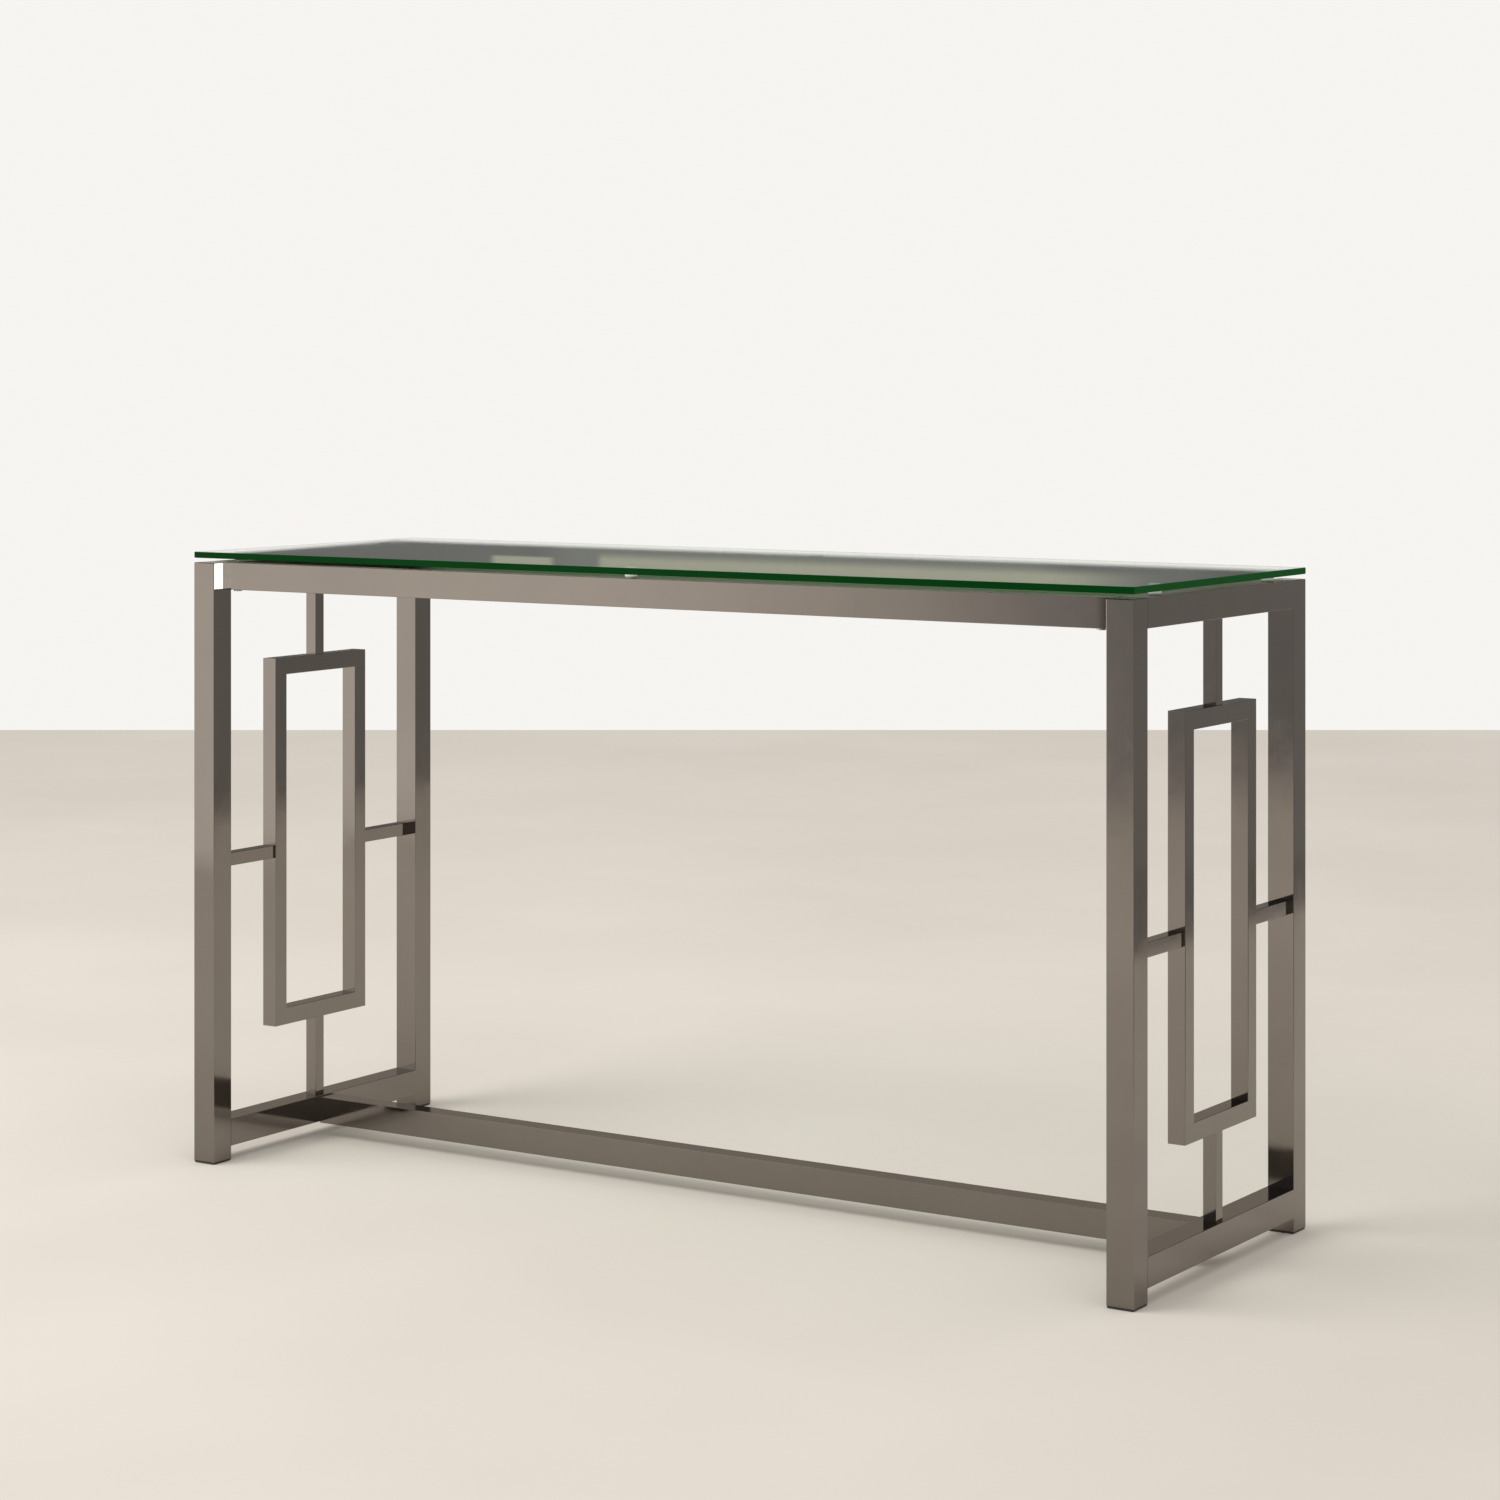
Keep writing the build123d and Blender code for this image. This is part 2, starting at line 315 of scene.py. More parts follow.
before_us = remap(tree, towards_back, *HALF_LIGHT_START, smooth=True)
upper_room = blend_colors(tree, before_us, DARK_BEHIND, HALF_LIGHT)
room = blend_colors(tree, below(*DIM_ROOM_TOP), upper_room, DIM_ROOM)
room = blend_colors(tree, both(sector(*RIGHT_WALL_WIDTH), below(*RIGHT_WALL_TOP)), room, RIGHT_WALL)
room = blend_colors(tree, below(*CEILING_FOOT), CEILING, room)
room = blend_colors(tree, both(sector(*BRIGHT_SIDE_WIDTH), below(*BRIGHT_SIDE_TOP)), room, BRIGHT_SIDE)
room = blend_colors(tree, both(sector(*DARK_AHEAD_WIDTH), below(*DARK_AHEAD_TOP)), room, DARK_AHEAD)
print("nodes with the room:", len(tree.nodes))

# %% [markdown]
# ## Studio surroundings: the white sheet
#
# A white sheet hangs behind the table, and the glass shows it as a pale band along its far side.
# The sheet's upper edge is sharp. It is level, except on the left, where it hangs higher and
# higher. Just over the edge the wall is not evenly dark: there is a haze, and in it, towards the
# middle, a low glow of warmer light with a narrow patch of its own to the left. Heights here are
# slopes over the sheet's edge.

# %% White sheet
WHITE_SHEET = (0.90, 0.875, 0.84)
SHEET_WIDTH = (-56, -14, 9)
SHEET_TOP = 0.0625  # the slope of the sheet's upper edge
SHEET_EDGE = 0.0006  # half the softness of that edge
SHEET_TURN = -38.6  # the bearing to the left of which the sheet hangs higher
SHEET_CLIMB = 0.149  # how much the slope grows there, per radian further to the left
HAZE_TOP = (0.010, 0.015)
SIDE_HAZE = (0.172, 0.17, 0.162)
SIDE_HAZE_WIDTH = (-75, -26.2, 1.5)
LOW_HAZE = (0.212, 0.21, 0.195)
LOW_HAZE_WIDTH = (-35.7, -28.6, 0.8)
LOW_GLOW = (0.40, 0.39, 0.31)
GLOW_WIDTH = (-35.3, -28.4, 0.15, 2.2)
GLOW_FOOT = (0.0012, 0.0046)
PATCH_WIDTH = (-37.0, -36.2, 0.15)
PATCH_FOOT = (0.0036, 0.0046)

past_turn = calc(tree, "SUBTRACT", math.radians(SHEET_TURN), turn)
climb = calc(tree, "MAXIMUM", calc(tree, "MULTIPLY", past_turn, SHEET_CLIMB), 0.0)
over_sheet = calc(tree, "SUBTRACT", slope, calc(tree, "ADD", SHEET_TOP, climb))
near_sheet = remap(tree, over_sheet, *HAZE_TOP, 1.0, 0.0, smooth=True)
room = blend_colors(tree, both(sector(*SIDE_HAZE_WIDTH), near_sheet), room, SIDE_HAZE)
room = blend_colors(tree, both(sector(*LOW_HAZE_WIDTH), near_sheet), room, LOW_HAZE)
for width, foot in ((GLOW_WIDTH, GLOW_FOOT), (PATCH_WIDTH, PATCH_FOOT)):
    height = both(remap(tree, over_sheet, *foot, smooth=True), near_sheet)
    room = blend_colors(tree, both(sector(*width), height), room, LOW_GLOW)
sheet = both(sector(*SHEET_WIDTH), remap(tree, over_sheet, -SHEET_EDGE, SHEET_EDGE, 1.0, 0.0))
room = blend_colors(tree, sheet, room, WHITE_SHEET)
print("nodes with the sheet:", len(tree.nodes))

# %% [markdown]
# ## Studio surroundings: who sees what
#
# The same room can't serve every purpose. The camera sees one plain white, as on a studio
# picture. Mirrors and glass see the painted room. Matt surfaces are lit by an even white, so
# that their colours come out as written. The light path of each ray tells the three apart.

# %% Background
BACKGROUND = (0.93, 0.91, 0.885)
EVEN_LIGHT = 0.74  # share of a white surface's light that comes from all round

rays = add(tree, "LightPath")
mirrored = calc(tree, "MAXIMUM", rays.outputs["Is Glossy Ray"], rays.outputs["Is Transmission Ray"])
seen = blend_colors(tree, mirrored, (EVEN_LIGHT,) * 3, room)
seen = blend_colors(tree, rays.outputs["Is Camera Ray"], seen, BACKGROUND)
background = add(tree, "Background", {"Color": seen, "Strength": 1.0})
tree.links.new(background.outputs[0], add(tree, "OutputWorld").inputs["Surface"])
print("world nodes:", len(tree.nodes))

# %% [markdown]
# ## Lamp
#
# One wide soft lamp high at the front left gives the floor shadow a direction. It is hidden from
# mirrors, because the room above already stands for what the metal shows.

# %% Lamp
LAMP_PLACE = Vector((-1.9, -2.1, 3.3))
LAMP_SIZE = 3.0
LAMP_POWER = 62.0

lamp_data = bpy.data.lights.new("soft_lamp", "AREA")
lamp_data.shape = "DISK"
lamp_data.size = LAMP_SIZE
lamp_data.energy = LAMP_POWER
lamp = bpy.data.objects.new("soft_lamp", lamp_data)
lamp.location = LAMP_PLACE
lamp.rotation_euler = (-LAMP_PLACE).to_track_quat("-Z", "Y").to_euler()
lamp.visible_glossy = False
lamp.visible_transmission = False
lamp.visible_camera = False
bpy.context.scene.collection.objects.link(lamp)
print("lamp:", LAMP_POWER, "W,", LAMP_SIZE, "m wide")

# %% [markdown]
# ## Dark nickel
#
# The tubes are plated in dark nickel, also called gunmetal, over polished steel. It is a mirror
# that gives back about a quarter of the light, a little warm. Three things keep it from looking
# like computer chrome. The plate's tone drifts by a few percent, the polish is hazier in some
# places than in others, and the polishing belt has left hair-fine lines along each tube. The
# lines are noise stretched a hundredfold along the tube, so there is one material for each of
# the three directions in which tubes run.
#
# Where one tube mirrors another, light has met the plate twice. A tint on mirror rays darkens
# the mirrored tube further: painted shade, which makes the inner corners darker than two clean
# mirrors would make them.

# %% Dark nickel
NICKEL = (0.262, 0.236, 0.214)
NICKEL_DARKER = (0.244, 0.221, 0.202)
DRIFT_SCALE = 7.0
WIPE_SCALE = 26.0  # of the places with more and less haze
HAZE_LOW = 0.055  # roughness of the clearest polish
HAZE_HIGH = 0.125
LINE_STRETCH = 0.012
LINES_PER_METRE = 1400.0
LINE_DEPTH = 0.004 * MM
LINE_HAZE = 0.012  # by which the lines change the roughness
MIRRORED_PAINTED_SHADE = (0.56, 0.56, 0.57)  # what is left of a tube's tone where another tube shows it


def tinted(tree, tone, where, tint):
    """A tone multiplied by a tint where a mask is 1."""
    share = blend_colors(tree, where, WHITE, tint)
    return add(tree, "VectorMath", {0: tone, 1: share}, operation="MULTIPLY").outputs[0]


def nickel(name, axis, finish=None):
    """Dark nickel with polishing lines along one axis: 0 for X, 1 for Y, 2 for Z.

    A finish, if there is one, is a function that changes the plate's tone and haze.
    """
    material, tree, output = new_material(name)
    place = add(tree, "TexCoord").outputs["Object"]
    scale = [1.0, 1.0, 1.0]
    scale[axis] = LINE_STRETCH
    along = add(tree, "Mapping", {"Vector": place, "Scale": scale}).outputs[0]
    lines = noise(tree, along, LINES_PER_METRE, detail=3.0, roughness=0.6)
    drift = remap(tree, noise(tree, place, DRIFT_SCALE, detail=3.0), *NOISE_CORE)
    wipe = noise(tree, place, WIPE_SCALE, detail=4.0, roughness=0.6)
    tone = blend_colors(tree, drift, NICKEL, NICKEL_DARKER)
    haze = remap(tree, wipe, *NOISE_WIDE, HAZE_LOW, HAZE_HIGH)
    haze = calc(tree, "ADD", haze, remap(tree, lines, *NOISE_CORE, -LINE_HAZE, LINE_HAZE))
    if finish:
        tone, haze = finish(tree, place, tone, haze)
    # Painted shade: a tube is darker where another tube mirrors it.
    tone = tinted(tree, tone, mirror_ray(tree), MIRRORED_PAINTED_SHADE)
    bump = add(tree, "Bump", {"Height": lines, "Distance": LINE_DEPTH, "Strength": 1.0})
    inputs = {"Base Color": tone, "Roughness": haze, "Normal": bump.outputs[0], "Metallic": 1.0}
    shader = add(tree, "BsdfPrincipled", inputs)
    tree.links.new(shader.outputs[0], output.inputs["Surface"])
    return material


nickel_by_axis = [nickel(f"dark_nickel_along_{letter}", axis) for axis, letter in enumerate("xyz")]
print("nickel materials:", [material.name for material in nickel_by_axis])

# %% [markdown]
# ## Top rails
#
# The top rails have two more materials, along X for the long ones and along Y for the short.
# Their upper faces, and the faces of the long rails that look towards the table's middle, are
# only satin: nobody polishes what the pane covers. Their tone there is painted shade, darker and
# greenish as if lit only through the pane. The long rails also carry painted shade just before
# they meet the right legs.

# %% Top rails
# The tones of the satin faces are painted shade, darker and greener, as if lit only through the pane.
SATIN_UPPER_PAINTED_SHADE = (0.177, 0.186, 0.136)
SATIN_INNER_PAINTED_SHADE = (0.143, 0.222, 0.139)
SATIN_HAZE = 0.38
INNER_SPAN = (-0.10, -0.05)  # of the normal's part along Y times the place's
UPPER_SPAN = (0.6, 0.9)  # of the normal's part along Z
# Painted shade on a long rail where it nears the right legs:
END_PAINTED_SHADE = (0.40, 0.38, 0.36)  # what is left of the tone where a long rail nears the right legs
END_PAINTED_SHADE_START = 19.5 * MM  # from the rail's end
END_PAINTED_SHADE_FULL = 8 * MM

rail_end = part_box("front_top_rail")[1][0]


def satin_and_shade_faces(tree, place):
    """Two masks for the satin haze and painted shade: faces that look along Y towards the table's
    middle, and faces that look up.
    """
    normal = add(tree, "NewGeometry").outputs["Normal"]
    outward = calc(tree, "MULTIPLY", part_of(tree, normal, "Y"), part_of(tree, place, "Y"))
    inner = remap(tree, outward, *INNER_SPAN, 1.0, 0.0)
    upper = remap(tree, part_of(tree, normal, "Z"), *UPPER_SPAN)
    return inner, upper


def satin_and_shade_finish(tree, place, tone, haze):
    """The tone and haze of a top rail: satin haze on its satin faces, with painted shade and a painted
    green in their tone.
    """
    inner, upper = satin_and_shade_faces(tree, place)
    tone = blend_colors(tree, upper, tone, SATIN_UPPER_PAINTED_SHADE)
    tone = blend_colors(tree, inner, tone, SATIN_INNER_PAINTED_SHADE)
    satin_haze = calc(tree, "MULTIPLY", calc(tree, "MAXIMUM", inner, upper), SATIN_HAZE)
    return tone, calc(tree, "MAXIMUM", haze, satin_haze)


def long_rail_finish_and_end_shade(tree, place, tone, haze):
    """The satin finish and its painted shade, with more painted shade towards the rail's right end."""
    at_end = remap(tree, part_of(tree, place, "X"), rail_end - END_PAINTED_SHADE_START, rail_end - END_PAINTED_SHADE_FULL)
    return satin_and_shade_finish(tree, place, tinted(tree, tone, at_end, END_PAINTED_SHADE), haze)


rail_nickel_by_axis = [
    nickel("rail_nickel_along_x", 0, long_rail_finish_and_end_shade),
    nickel("rail_nickel_along_y", 1, satin_and_shade_finish),
]
print("rail materials:", [material.name for material in rail_nickel_by_axis])

# %% [markdown]
# ## Dressing the tubes
#
# The record of the CAD model says which nodes are plated. A tube runs along its longest side,
# and that picks the material whose lines run the same way.

# %% Dressing the tubes


def tube_axis(name):
    """The axis along which a node is longest."""
    low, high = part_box(name)
    size = [high[axis] - low[axis] for axis in range(3)]
    return size.index(max(size))


def dress(name, material):
    """Give every slot of a CAD node one material."""
    mesh = frame["nodes"][name].data
    if not mesh.materials:
        mesh.materials.append(material)
    for slot in range(len(mesh.materials)):
        mesh.materials[slot] = material


def nodes_in(slot):
    """The nodes that the record gives one material slot."""
    return [part["node"] for part in frame["record"]["subparts"] if part["material_slot"] == slot]


def dress_all(slot, material):
    """Give every node of a slot one material."""
    for name in nodes_in(slot):
        dress(name, material)
    print(f"pieces in {material.name}:", len(nodes_in(slot)))


for name in nodes_in("dark_nickel"):
    choice = rail_nickel_by_axis if "top" in name and "rail" in name else nickel_by_axis
    dress(name, choice[tube_axis(name)])
print("pieces in dark nickel:", len(nodes_in("dark_nickel")))

# %% [markdown]
# ## Hidden steel and screws
#
# The spigots inside the rails are plain mill steel, stained here and there by oil. Their screws
# are zinc plated, with the faint drift from blue to yellow that a thin passivated layer shows.
# Both are metals, so one helper makes them: a noise drifts the tone, and a finer one the haze.

# %% Hidden steel and screws
STEEL = (0.46, 0.46, 0.45)
STEEL_STAINED = (0.38, 0.37, 0.35)
ZINC_BLUE = (0.60, 0.62, 0.64)
ZINC_YELLOW = (0.66, 0.63, 0.54)
METAL_GRAIN = 900.0


def plated(name, first, second, drift_scale, rough_low, rough_high):
    """A bare or plated steel whose tone and roughness drift between two values."""
    material, tree, output = new_material(name)
    place = add(tree, "TexCoord").outputs["Object"]
    drift = remap(tree, noise(tree, place, drift_scale, detail=4.0), *NOISE_CORE)
    grain = noise(tree, place, METAL_GRAIN)
    inputs = {
        "Base Color": blend_colors(tree, drift, first, second),
        "Roughness": remap(tree, grain, *NOISE_WIDE, rough_low, rough_high),
        "Metallic": 1.0,
    }
    shader = add(tree, "BsdfPrincipled", inputs)
    tree.links.new(shader.outputs[0], output.inputs["Surface"])
    return material


steel = plated("mill_steel", STEEL, STEEL_STAINED, drift_scale=40.0, rough_low=0.32, rough_high=0.5)
zinc = plated("zinc_plate", ZINC_BLUE, ZINC_YELLOW, drift_scale=120.0, rough_low=0.22, rough_high=0.34)
dress_all("bare_steel", steel)
dress_all("screw_zinc", zinc)

# %% [markdown]
# ## Foot plugs
#
# The foot plugs are black moulded plastic. The mould was spark eroded, which gives the plastic a
# fine even grain, and bump is enough for it, because it is far too fine to change the outline.
# The rim is scuffed and duller where it touches the floor.

# %% Foot plugs
PLASTIC = (0.030, 0.029, 0.028)
PLASTIC_SCUFFED = (0.055, 0.053, 0.050)
PLASTIC_HAZE = (0.42, 0.75)  # roughness, as moulded and where scuffed
PLASTIC_GRAIN = 2600.0
PLASTIC_GRAIN_DEPTH = 0.03 * MM
SCUFF_SCALE = 350.0
SCUFF_HEIGHT = 1.6 * MM


def grain_normal(tree, place, scale, depth, strength):
    """The normal of a surface with a fine moulded grain."""
    grain = noise(tree, place, scale)
    bump = add(tree, "Bump", {"Height": grain, "Distance": depth, "Strength": strength})
    return bump.outputs[0]


def moulded_plastic(name):
    """Black plastic with a fine grain, scuffed towards the floor."""
    material, tree, output = new_material(name)
    place = add(tree, "TexCoord").outputs["Object"]
    near_floor = remap(tree, part_of(tree, place, "Z"), 0.0, SCUFF_HEIGHT, 1.0, 0.0)
    scuff = calc(tree, "MULTIPLY", near_floor, noise(tree, place, SCUFF_SCALE, detail=4.0))
    inputs = {
        "Base Color": blend_colors(tree, scuff, PLASTIC, PLASTIC_SCUFFED),
        "Roughness": remap(tree, scuff, 0.0, 1.0, *PLASTIC_HAZE),
        "Normal": grain_normal(tree, place, PLASTIC_GRAIN, PLASTIC_GRAIN_DEPTH, strength=0.6),
    }
    shader = add(tree, "BsdfPrincipled", inputs)
    tree.links.new(shader.outputs[0], output.inputs["Surface"])
    return material


dress_all("foot_plastic", moulded_plastic("black_plastic"))

# %% [markdown]
# ## Pads
#
# Thin white plastic pads keep the ends of the top rails off the plating of the legs, and half of
# each pad shows beside its rail. The sheet they are cut from is matt and milky. On the left, where
# the bright side of the room shines on the pads, a little emission paints a glow on them, which
# makes them brighter than the room's light alone would.

# %% Pads
PAD_WHITE = (0.95, 0.94, 0.90)
PAD_CREAM = (0.93, 0.91, 0.86)
PAD_HAZE = 0.55
PAD_DRIFT_SCALE = 60.0
PAD_GRAIN = 3200.0
PAD_GRAIN_DEPTH = 0.02 * MM
# A painted glow, an emission, brightens the pads on the left:
PAD_PAINTED_GLOW_COLOR = (1.0, 0.99, 0.92)
PAD_PAINTED_GLOW = 0.85  # of the pads on the left
PAD_PAINTED_GLOW_FADE = 0.1  # on either side of the table's middle, where it fades out


def white_sheet_with_painted_glow(name):
    """Matt white plastic sheet with a fine pebble grain, a faint cream drift and a painted glow on the
    left.
    """
    material, tree, output = new_material(name)
    place = add(tree, "TexCoord").outputs["Object"]
    drift = remap(tree, noise(tree, place, PAD_DRIFT_SCALE, detail=3.0), *NOISE_CORE)
    from_middle = part_of(tree, place, "X")
    inputs = {
        "Base Color": blend_colors(tree, drift, PAD_WHITE, PAD_CREAM),
        "Roughness": PAD_HAZE,
        "Normal": grain_normal(tree, place, PAD_GRAIN, PAD_GRAIN_DEPTH, strength=0.5),
        # Painted glow: emission on the pads left of the table's middle.
        "Emission Color": (*PAD_PAINTED_GLOW_COLOR, 1.0),
        "Emission Strength": remap(tree, from_middle, -PAD_PAINTED_GLOW_FADE, PAD_PAINTED_GLOW_FADE, PAD_PAINTED_GLOW, 0.0),
    }
    shader = add(tree, "BsdfPrincipled", inputs)
    tree.links.new(shader.outputs[0], output.inputs["Surface"])
    return material


dress_all("white_pad", white_sheet_with_painted_glow("white_sheet_with_painted_glow"))

# %% [markdown]
# ## Glass pane: surface
#
# The top is float glass, 7.5 mm thick, with polished edges. Iron in the glass makes it green.
# Across its thickness that hardly shows, but an edge is seen through decimetres of glass, so
# the edge looks deep green. To follow light through that depth is slow and noisy, so the pane is
# built with three kinds of face: clear faces above and below, deep green faces round the edge,
# and a narrow bevel, the arris, where they meet.
#
# The outline is a rectangle whose corners are nipped off. Each ring of the pane is that outline
# drawn in by some distance at some height, and the faces run from ring to ring.

# %% Pane surface
ARRIS = 0.7 * MM
NIP = 1.5 * MM  # across each upright corner

glass_low, glass_high = (Vector(corner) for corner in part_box("glass_top"))
glass_middle = (glass_low + glass_high) / 2
glass_half = (glass_high - glass_low) / 2


def nipped_rectangle(half_x, half_y, nip):
    """Eight points, counterclockwise: at each corner, one point nip short of it on either side."""
    corners = np.array([[-1, -1], [1, -1], [1, 1], [-1, 1]], float) * [half_x, half_y]
    before = np.roll(corners, 1, axis=0) - corners
    after = np.roll(corners, -1, axis=0) - corners
    step_back = corners + nip * before / np.linalg.norm(before, axis=1, keepdims=True)
    step_on = corners + nip * after / np.linalg.norm(after, axis=1, keepdims=True)
    return np.stack([step_back, step_on], axis=1).reshape(-1, 2)


def ring(inset, height):
    """The pane's outline drawn in by inset, at a height above the pane's underside."""
    outline = nipped_rectangle(glass_half.x - inset, glass_half.y - inset, NIP)
    outline += [glass_middle.x, glass_middle.y]
    return np.column_stack([outline, np.full(len(outline), glass_low.z + height)])


def ring_faces(rings, per_ring):
    """Four-sided faces between neighbouring rings, outward for rings that rise."""
    first = np.arange(per_ring)
    second = np.roll(first, -1)
    one_band = np.column_stack([first, second, second + per_ring, first + per_ring])
    return np.concatenate([one_band + band * per_ring for band in range(rings - 1)]).tolist()


def end_faces(rings, per_ring):
    """The two faces that close a stack of rings, below and above, both looking outward."""
    lowest = np.arange(per_ring)
    return [lowest[::-1].tolist(), (lowest + per_ring * (rings - 1)).tolist()]


thickness = glass_high.z - glass_low.z
pane_rings = [ring(ARRIS, 0), ring(0, ARRIS), ring(0, thickness - ARRIS), ring(ARRIS, thickness)]
per_ring = len(pane_rings[0])
pane_points = np.concatenate(pane_rings)
pane_faces = ring_faces(len(pane_rings), per_ring) + end_faces(len(pane_rings), per_ring)
print("pane:", len(pane_points), "points,", round(thickness / MM, 2), "mm thick")

# %% [markdown]
# ## Glass pane: clear faces
#
# The clear faces mix a bent view through with a mirror view, and Fresnel's formula gives the
# share of the mirror, which grows from four percent seen from above to most of it at a low angle.
# Each crossing takes a little red out. Lamp light and soft light go straight through with a green
# tint, because bent light paths would leave the table under the glass in grainy shade.

# %% Clear glass
GLASS_IOR = 1.5
GLASS_TINT = (0.90, 0.965, 0.925)  # of light that crosses one face
SHADOW_TINT = (0.86, 0.93, 0.885)


def clear_glass(name):
    """Glass whose mirror share follows Fresnel, and which lets lamp light through unbent."""
    material, tree, output = new_material(name)
    mirror_share = add(tree, "Fresnel", {"IOR": GLASS_IOR}).outputs[0]
    bent = {"Color": (*GLASS_TINT, 1.0), "IOR": GLASS_IOR, "Roughness": 0.0}
    through = add(tree, "BsdfRefraction", bent)
    mirror = add(tree, "BsdfGlossy", {"Color": (*WHITE, 1.0), "Roughness": 0.0})
    glass = add(tree, "MixShader", {0: mirror_share, 1: through.outputs[0], 2: mirror.outputs[0]})
    lit = add(tree, "BsdfTransparent", {"Color": (*SHADOW_TINT, 1.0)})
    rays = add(tree, "LightPath")
    from_light = calc(tree, "MAXIMUM", rays.outputs["Is Shadow Ray"], rays.outputs["Is Diffuse Ray"])
    pane_shader = add(tree, "MixShader", {0: from_light, 1: glass.outputs[0], 2: lit.outputs[0]})
    tree.links.new(pane_shader.outputs[0], output.inputs["Surface"])
    return material


clear_material = clear_glass("clear_glass")
print("nodes in the clear glass:", len(clear_material.node_tree.nodes))

# %% [markdown]
# ## Glass pane: green edges
#
# The edge and the arris are opaque to the eye, so they are a deep colour under a clear polish.
# Most of their mirror strength is left out, so that the bright side of the room doesn't wash the
# green away. The edges at the two short ends of the pane look lighter than the long ones.

# %% Glass edges
EDGE_GREEN = (0.0006, 0.040, 0.0045)
EDGE_BRIGHTER = (0.0012, 0.047, 0.0060)
END_GREEN = (0.004, 0.080, 0.012)
EDGE_DRIFT = 5.0
PLAIN_SPECULAR = 0.5  # the level at which a surface mirrors as much as its IOR says
EDGE_SHEEN = 0.06  # of that level
EDGE_ROUGHNESS = 0.08
ARRIS_GREEN = (0.0012, 0.044, 0.0055)
END_ARRIS = (0.006, 0.085, 0.015)
ARRIS_ROUGHNESS = 0.2


def edge_glass(name, dark, light, end, roughness):
    """The pane's edge: deep colour under a clear polish, drifting along it, lighter at the two ends."""
    material, tree, output = new_material(name)
    place = add(tree, "TexCoord").outputs["Object"]
    drift = remap(tree, noise(tree, place, EDGE_DRIFT), *NOISE_CORE)
    from_middle = calc(tree, "ABSOLUTE", part_of(tree, place, "X"))
    at_end = remap(tree, from_middle, glass_half.x - NIP, glass_half.x)
    inputs = {
        "Base Color": blend_colors(tree, at_end, blend_colors(tree, drift, dark, light), end),
        "Roughness": roughness,
        "IOR": GLASS_IOR,
        "Specular IOR Level": PLAIN_SPECULAR * EDGE_SHEEN,
    }
    shader = add(tree, "BsdfPrincipled", inputs)
    tree.links.new(shader.outputs[0], output.inputs["Surface"])
    return material


glass_materials = [
    clear_material,
    edge_glass("glass_edge", EDGE_GREEN, EDGE_BRIGHTER, END_GREEN, EDGE_ROUGHNESS),
    edge_glass("glass_arris", ARRIS_GREEN, ARRIS_GREEN, END_ARRIS, ARRIS_ROUGHNESS),
]
print("glass materials:", [material.name for material in glass_materials])

# %% [markdown]
# ## Glass pane: piece
#
# The pane stands in for the plain solid of the CAD model. Its three bands of side faces are, from
# below, arris, edge and arris, and its two large faces are clear.

# %% Pane
CLEAR, EDGE, BEVEL = range(3)  # places in the list of glass materials

face_materials = np.append(np.repeat([BEVEL, EDGE, BEVEL], per_ring), [CLEAR, CLEAR])
pane = new_piece("glass_pane", pane_points, pane_faces, glass_materials, face_materials)
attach(pane, "root")
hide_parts("glass_top")
print("pane faces:", len(pane.data.polygons))

# %% [markdown]
# ## Clear discs: surface
#
# Six discs of clear soft plastic carry the pane. Each is a moulded dome cut flat where the glass
# rests on it, on a thin film of adhesive. It is a profile turned about an upright axis.

# %% Disc surface
DISC_STEPS = 40
SHOULDER_STEPS = 7
RIM_RADIUS = 1.2 * MM
WAIST_HEIGHT = 0.4  # of the disc's height
WAIST_RADIUS = 0.992  # of the foot's radius
CROWN_RADIUS = 0.985


def disc_profile(radius, height):
    """Radius and height from the foot's rim up to the crown.

    The side leans in a little up to the waist. The shoulder is a quarter circle: its radius goes
    with the cosine of the bend and its height with the sine.
    """
    bend = np.linspace(0, math.pi / 2, SHOULDER_STEPS)
    shoulder_r = radius - RIM_RADIUS + RIM_RADIUS * np.cos(bend)
    shoulder_z = height - RIM_RADIUS + RIM_RADIUS * np.sin(bend)
    profile_r = np.concatenate([[radius, radius * WAIST_RADIUS], shoulder_r * CROWN_RADIUS])
    profile_z = np.concatenate([[0.0, height * WAIST_HEIGHT], shoulder_z])
    return profile_r, profile_z


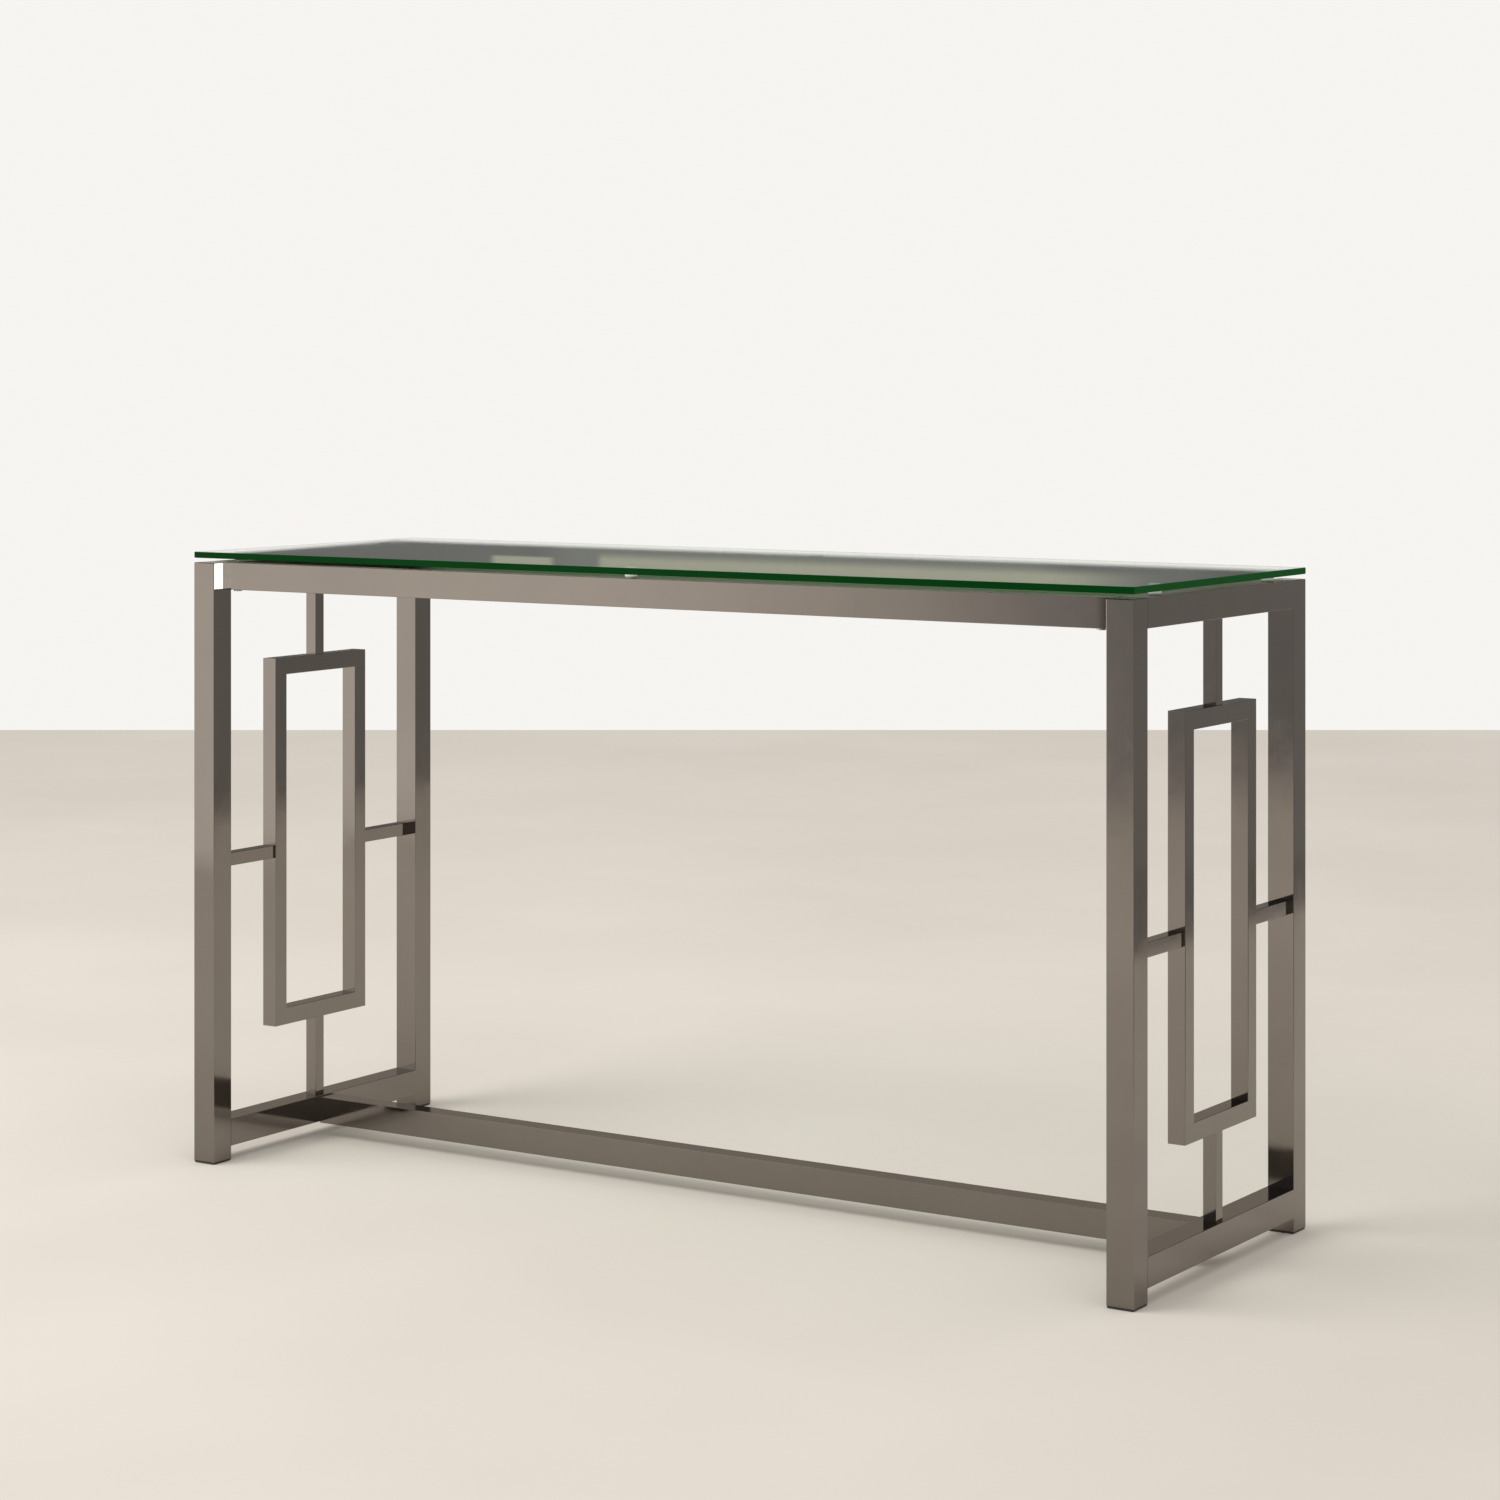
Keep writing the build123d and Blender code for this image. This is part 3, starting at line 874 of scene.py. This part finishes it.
def turned(profile_r, profile_z, centre):
    """A closed surface from a profile turned about the upright axis through centre.

    A point of the profile goes round a circle: x is its radius times the cosine of the angle, y
    its radius times the sine, and z stays.
    """
    angle = np.linspace(0, 2 * math.pi, DISC_STEPS, endpoint=False)
    x = centre[0] + np.outer(profile_r, np.cos(angle))
    y = centre[1] + np.outer(profile_r, np.sin(angle))
    z = centre[2] + np.outer(profile_z, np.ones(DISC_STEPS))
    points = np.stack([x, y, z], axis=-1).reshape(-1, 3)
    return points, ring_faces(len(profile_r), DISC_STEPS) + end_faces(len(profile_r), DISC_STEPS)


print("points on a disc's profile:", SHOULDER_STEPS + 2)

# %% [markdown]
# ## Clear discs: material and pieces
#
# Each disc is painted: its upper part with a bright painted highlight, for the light that clear
# soft plastic gathers at its rim, and its foot with a dim tone painted for the dark rail seen
# through it. A fine noise makes the gloss uneven, as on any moulding. Under the glass they show as
# small bright marks.

# %% Clear discs
# A painted highlight on the upper part of each disc, and a dim foot painted for the dark rail seen
# through it:
DISC_PAINTED_HIGHLIGHT = (0.97, 0.98, 0.92)  # the domed rim under the glass
DISC_PAINTED_DARK_FOOT = (0.45, 0.47, 0.42)  # the clear foot, which shows the dark rail
DISC_HIGHLIGHT_START = 0.35  # of the disc's height
DISC_HIGHLIGHT_FULL = 0.55
DISC_GRAIN = 500.0
DISC_HAZE = (0.08, 0.2)  # roughness
DISC_IOR = 1.45
DISC_CLEARNESS = 0.12  # share of the light that goes through

disc_foot, disc_crown = (corner[2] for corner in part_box("bumper_front_middle"))
highlight_start, highlight_full = (
    disc_foot + share * (disc_crown - disc_foot) for share in (DISC_HIGHLIGHT_START, DISC_HIGHLIGHT_FULL)
)
disc_material, tree, output = new_material("clear_soft_plastic")
disc_place = add(tree, "TexCoord").outputs["Object"]
disc_highlight = remap(tree, part_of(tree, disc_place, "Z"), highlight_start, highlight_full)
disc_inputs = {
    "Base Color": blend_colors(tree, disc_highlight, DISC_PAINTED_DARK_FOOT, DISC_PAINTED_HIGHLIGHT),
    "Roughness": remap(tree, noise(tree, disc_place, DISC_GRAIN), *NOISE_WIDE, *DISC_HAZE),
    "IOR": DISC_IOR,
    "Transmission Weight": DISC_CLEARNESS,
}
tree.links.new(add(tree, "BsdfPrincipled", disc_inputs).outputs[0], output.inputs["Surface"])

for name in nodes_in("clear_bumper"):
    low, high = (Vector(corner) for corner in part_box(name))
    foot_centre = Vector(((low.x + high.x) / 2, (low.y + high.y) / 2, low.z))
    points, faces = turned(*disc_profile((high.x - low.x) / 2, high.z - low.z), foot_centre)
    disc = new_piece(name.replace("bumper", "disc"), points, faces, [disc_material])
    disc.data.shade_smooth()
    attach(disc, "root")
    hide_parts(name)
print("discs:", len(nodes_in("clear_bumper")))
